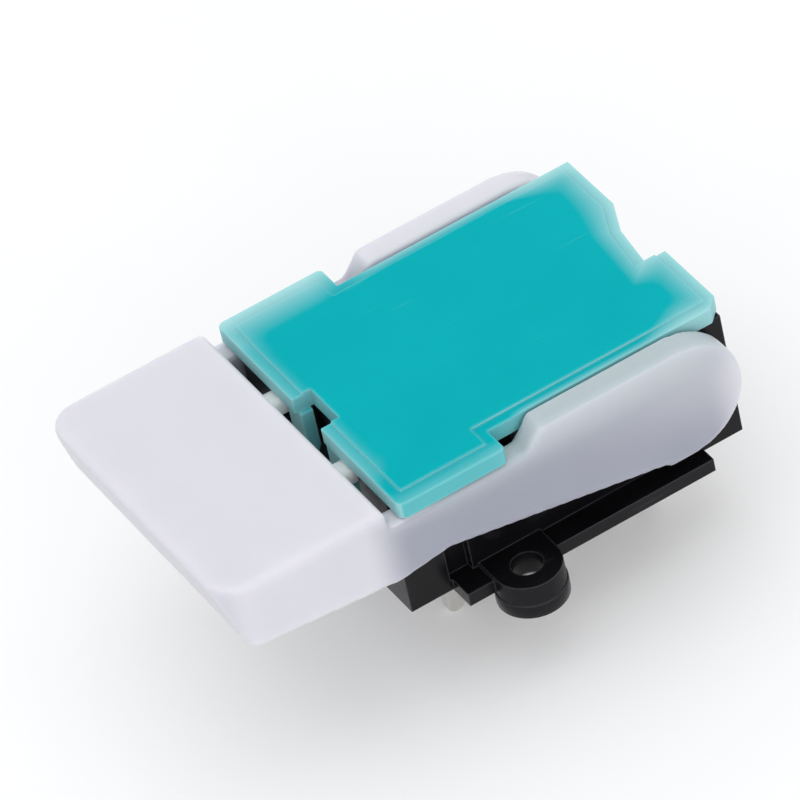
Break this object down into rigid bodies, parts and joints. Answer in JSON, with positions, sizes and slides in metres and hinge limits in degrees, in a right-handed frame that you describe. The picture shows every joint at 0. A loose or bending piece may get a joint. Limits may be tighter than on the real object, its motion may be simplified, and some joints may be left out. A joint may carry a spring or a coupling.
{
  "type": "hook switch",
  "caption": "Board-mounted hook switch: black base with flat solder pins and ears, teal latched cover, and a forked white lever whose wide pad is pressed down to change over the contacts.",
  "frame": {"origin": "centre of the pin grid, on the face of the board that the ears sit on", "axes": "+X towards the lever's pad, +Z away from the board towards the cover, +Y towards the left-hand row of pins"},
  "size_m": [0.0252, 0.0176, 0.0115],
  "materials": {
    "base_plastic": "glossy moulded black",
    "cover_plastic": "translucent moulded teal",
    "lever_plastic": "translucent natural white, satin",
    "tinned_sheet": "tin-plated stamped sheet",
    "spring_bronze": "bright rolled spring strip",
    "contact_silver": "silver-faced contact"
  },
  "bodies": {
    "base": {"base_housing": "base_plastic", "top_cover": "cover_plastic", "common_terminal_left": "tinned_sheet", "common_terminal_right": "tinned_sheet", "open_terminal_left": "tinned_sheet", "open_terminal_right": "tinned_sheet", "closed_terminal_left": "tinned_sheet", "closed_terminal_right": "tinned_sheet", "open_contact_left": "contact_silver", "open_contact_right": "contact_silver", "closed_contact_left": "contact_silver", "closed_contact_right": "contact_silver"},
    "lever": {"lever": "lever_plastic"},
    "blade_left": {"contact_blade_left": "spring_bronze", "moving_contact_left": "contact_silver"},
    "blade_right": {"contact_blade_right": "spring_bronze", "moving_contact_right": "contact_silver"}
  },
  "joints": [
    {"name": "lever_press", "type": "hinge", "parent": "base", "child": "lever", "pos_m": [-0.005, 0, 0.00546], "axis": [0, 1, 0], "range_deg": [0, 10], "stiffness_Nm_per_rad": 0.01, "springref_deg": -34.38},
    {"name": "blade_left_flex", "type": "hinge", "parent": "base", "child": "blade_left", "pos_m": [-0.005, 0, 0.00546], "axis": [0, 1, 0], "range_deg": [0, 10]},
    {"name": "blade_right_flex", "type": "hinge", "parent": "base", "child": "blade_right", "pos_m": [-0.005, 0, 0.00546], "axis": [0, 1, 0], "range_deg": [0, 10]}
  ],
  "couplings": [
    {"joint": "blade_left_flex", "follows": "lever_press", "ratio": 1},
    {"joint": "blade_right_flex", "follows": "lever_press", "ratio": 1}
  ]
}
